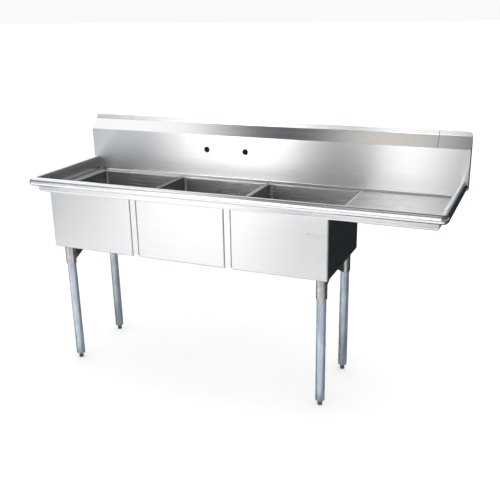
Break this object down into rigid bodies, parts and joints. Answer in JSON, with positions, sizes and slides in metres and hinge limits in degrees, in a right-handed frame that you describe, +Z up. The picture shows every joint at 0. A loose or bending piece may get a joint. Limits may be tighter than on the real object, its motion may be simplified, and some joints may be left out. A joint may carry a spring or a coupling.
{
  "type": "three compartment sink",
  "caption": "Free-standing stainless commercial sink: deep bowls in a row, a right-hand drainboard, a high splash with faucet holes, basket drains and adjustable legs.",
  "frame": {"origin": "middle of the footprint, on the floor", "axes": "+X along the row of bowls towards the drainboard, +Y from the front to the splash, +Z up"},
  "size_m": [1.895, 0.597, 1.147],
  "materials": {
    "stainless_brushed": "brushed",
    "socket_satin": "satin",
    "brace_dark": "dark steel plate",
    "leg_galvanised": "galvanised",
    "foot_dark": "moulded",
    "screw_steel": "zinc plated",
    "strainer_steel": "polished",
    "nut_zinc": "die cast zinc",
    "drain_rubber": "moulded",
    "drain_fibre": "pressed fibre"
  },
  "bodies": {
    "sink": {"bowl_left": "stainless_brushed", "strainer_left": "strainer_steel", "drain_gasket_left": "drain_rubber", "drain_washer_left": "drain_fibre", "drain_nut_left": "nut_zinc", "bowl_middle": "stainless_brushed", "strainer_middle": "strainer_steel", "drain_gasket_middle": "drain_rubber", "drain_washer_middle": "drain_fibre", "drain_nut_middle": "nut_zinc", "bowl_right": "stainless_brushed", "strainer_right": "strainer_steel", "drain_gasket_right": "drain_rubber", "drain_washer_right": "drain_fibre", "drain_nut_right": "nut_zinc", "deck": "stainless_brushed", "drainboard": "stainless_brushed", "rim_front": "stainless_brushed", "rim_left": "stainless_brushed", "rim_right": "stainless_brushed", "rim_corner_left": "stainless_brushed", "rim_corner_right": "stainless_brushed", "splash_panel": "stainless_brushed", "splash_return": "stainless_brushed", "splash_return_end": "stainless_brushed", "splash_end_left": "stainless_brushed", "splash_end_right": "stainless_brushed", "front_filler_strip_left": "stainless_brushed", "front_filler_strip_right": "stainless_brushed", "rear_filler_strip_left": "stainless_brushed", "rear_filler_strip_right": "stainless_brushed", "drainboard_channel": "stainless_brushed", "leg_socket_front_left": "socket_satin", "socket_brace_front_left": "brace_dark", "leg_front_left": "leg_galvanised", "leg_insert_front_left": "leg_galvanised", "leg_socket_front_right": "socket_satin", "socket_brace_front_right": "brace_dark", "leg_front_right": "leg_galvanised", "leg_insert_front_right": "leg_galvanised", "leg_socket_rear_left": "socket_satin", "socket_brace_rear_left": "brace_dark", "leg_rear_left": "leg_galvanised", "leg_insert_rear_left": "leg_galvanised", "leg_socket_rear_right": "socket_satin", "socket_brace_rear_right": "brace_dark", "leg_rear_right": "leg_galvanised", "leg_insert_rear_right": "leg_galvanised", "set_screws": "screw_steel"},
    "foot_front_left": {"foot_front_left": "foot_dark"},
    "foot_front_right": {"foot_front_right": "foot_dark"},
    "foot_rear_left": {"foot_rear_left": "foot_dark"},
    "foot_rear_right": {"foot_rear_right": "foot_dark"},
    "basket_left": {"basket_left": "strainer_steel", "basket_seal_left": "drain_rubber"},
    "basket_middle": {"basket_middle": "strainer_steel", "basket_seal_middle": "drain_rubber"},
    "basket_right": {"basket_right": "strainer_steel", "basket_seal_right": "drain_rubber"}
  },
  "joints": [
    {"name": "foot_front_left_height", "type": "slide", "parent": "sink", "child": "foot_front_left", "axis": [0, 0, -1], "range_m": [-0.002, 0.025]},
    {"name": "foot_front_right_height", "type": "slide", "parent": "sink", "child": "foot_front_right", "axis": [0, 0, -1], "range_m": [-0.002, 0.025]},
    {"name": "foot_rear_left_height", "type": "slide", "parent": "sink", "child": "foot_rear_left", "axis": [0, 0, -1], "range_m": [-0.002, 0.025]},
    {"name": "foot_rear_right_height", "type": "slide", "parent": "sink", "child": "foot_rear_right", "axis": [0, 0, -1], "range_m": [-0.002, 0.025]},
    {"name": "basket_left_lift", "type": "slide", "parent": "sink", "child": "basket_left", "axis": [0, 0, 1], "range_m": [0, 0.4]},
    {"name": "basket_middle_lift", "type": "slide", "parent": "sink", "child": "basket_middle", "axis": [0, 0, 1], "range_m": [0, 0.4]},
    {"name": "basket_right_lift", "type": "slide", "parent": "sink", "child": "basket_right", "axis": [0, 0, 1], "range_m": [0, 0.4]}
  ]
}
